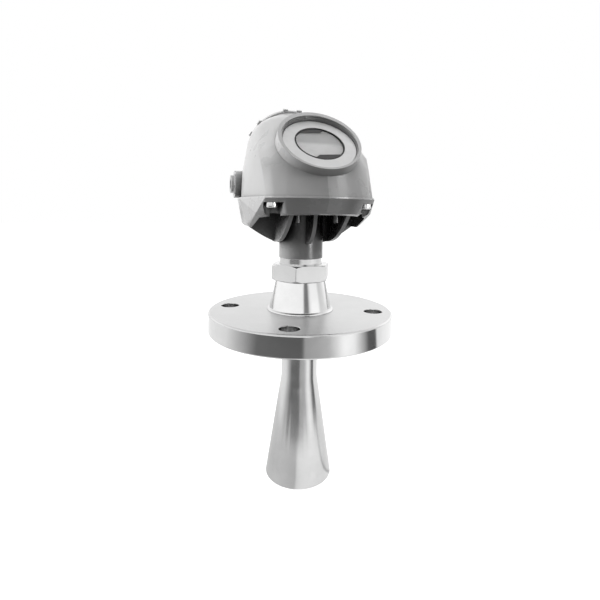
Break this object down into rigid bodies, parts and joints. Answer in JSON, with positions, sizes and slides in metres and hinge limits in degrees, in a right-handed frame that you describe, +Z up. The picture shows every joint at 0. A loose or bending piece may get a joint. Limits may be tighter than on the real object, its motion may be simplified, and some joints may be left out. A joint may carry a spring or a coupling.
{
  "type": "radar level transmitter",
  "caption": "Flanged radar level transmitter with a cone antenna, a swivelling two-room head, a round display and a screwed terminal cover.",
  "frame": {"origin": "centre of the flange's lower face, from which its raised sealing face stands down, on the antenna's axis", "axes": "+Z up along the antenna axis towards the head, -Y towards the viewer of the display, +X to the right of the display"},
  "size_m": [0.1906, 0.1906, 0.3909],
  "materials": {
    "flange_steel": "fine turned",
    "hub_steel": "fine turned",
    "antenna_steel": "satin",
    "nut_steel": "satin",
    "swivel_steel": "polished",
    "seal_plastic": "smooth",
    "washer_plastic": "smooth",
    "seal_rubber": "matte",
    "waveguide_metal": "smooth",
    "base_paint": "semi-gloss paint on a casting",
    "shell_paint": "semi-gloss paint on a casting",
    "cover_paint": "semi-gloss paint on a casting",
    "screw_steel": "bright",
    "label_metal": "matte",
    "window_glass": "clear",
    "screen": "glossy",
    "display_plastic": "fine grain",
    "board_plastic": "solder mask",
    "post_brass": "turned",
    "module_metal": "bead blasted",
    "block_plastic": "fine grain",
    "plug_steel": "dark turned"
  },
  "bodies": {
    "process": {"process_flange": "flange_steel", "hub_adapter": "hub_steel", "antenna_cone": "antenna_steel", "process_seal": "seal_plastic", "seal_o_ring": "seal_rubber", "swivel_o_ring": "seal_rubber"},
    "nut_washer": {"slip_washer": "washer_plastic"},
    "nut": {"lock_nut": "nut_steel"},
    "head": {"swivel_adapter": "swivel_steel", "waveguide": "waveguide_metal", "base_casting": "base_paint", "head_gasket": "seal_rubber", "head_shell": "shell_paint", "corner_screws": "screw_steel", "label_ring": "label_metal", "window_gasket": "seal_rubber", "display_window": "window_glass", "lcd_screen": "screen", "display_module": "display_plastic", "electronics_board": "board_plastic", "radar_module": "module_metal", "board_posts": "post_brass", "terminal_block": "block_plastic", "terminal_clamps": "post_brass", "terminal_screws": "screw_steel", "block_screws": "screw_steel", "inner_ground_screw": "screw_steel", "outer_ground_screw": "screw_steel", "ground_clamp": "screw_steel", "conduit_plug": "plug_steel", "plug_washer": "screw_steel"},
    "cover_seal": {"cover_o_ring": "seal_rubber"},
    "cover": {"terminal_cover": "cover_paint"}
  },
  "joints": [
    {"name": "head_swivel", "type": "hinge", "parent": "process", "child": "head", "pos_m": [0, 0, 0.0597], "axis": [0, 0, 1], "continuous": true},
    {"name": "lock_nut_travel", "type": "slide", "parent": "process", "child": "nut_washer", "axis": [0, 0, 1], "range_m": [0, 0.006]},
    {"name": "lock_nut_turn", "type": "hinge", "parent": "nut_washer", "child": "nut", "pos_m": [0, 0, 0.0597], "axis": [0, 0, 1], "range_deg": [0, 1080]},
    {"name": "terminal_cover_travel", "type": "slide", "parent": "head", "child": "cover_seal", "axis": [0, 0.866, 0.5], "range_m": [0, 0.012]},
    {"name": "terminal_cover_turn", "type": "hinge", "parent": "cover_seal", "child": "cover", "pos_m": [0, 0.065, 0.1972], "axis": [0, 0.866, 0.5], "range_deg": [0, 2160]}
  ],
  "couplings": [
    {"joint": "lock_nut_travel", "follows": "lock_nut_turn", "m_per_rad": 0.000318},
    {"joint": "terminal_cover_travel", "follows": "terminal_cover_turn", "m_per_rad": 0.000318}
  ]
}
